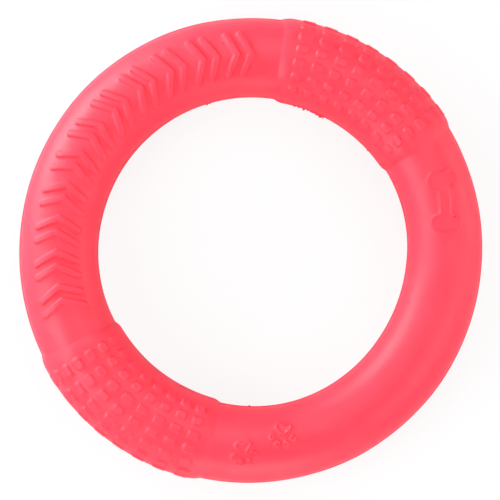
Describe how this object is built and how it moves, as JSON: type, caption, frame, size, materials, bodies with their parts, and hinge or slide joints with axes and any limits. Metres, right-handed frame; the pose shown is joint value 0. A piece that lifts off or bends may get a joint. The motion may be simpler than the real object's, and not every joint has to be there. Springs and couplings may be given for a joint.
{
  "type": "flying ring",
  "caption": "Round soft foam flying ring with two swollen grips covered in raised pads; thrown and caught, and tugged or fetched by a dog.",
  "frame": {"origin": "centre of the ring, on the mid plane where its two halves are bonded", "axes": "+Z along the ring's axis, out of the upper face; +X and +Y in the ring's plane, with the grips centred 56 and 233 degrees from +X towards +Y"},
  "size_m": [0.1806, 0.1806, 0.0332],
  "materials": {
    "foam": "satin moulded closed-cell EVA foam skin, coral red",
    "bond": "satin heat-set adhesive and trimmed moulding flash, darker coral red"
  },
  "bodies": {
    "root": {"upper_half": "foam", "lower_half": "foam", "bond_film": "bond"}
  },
  "joints": []
}
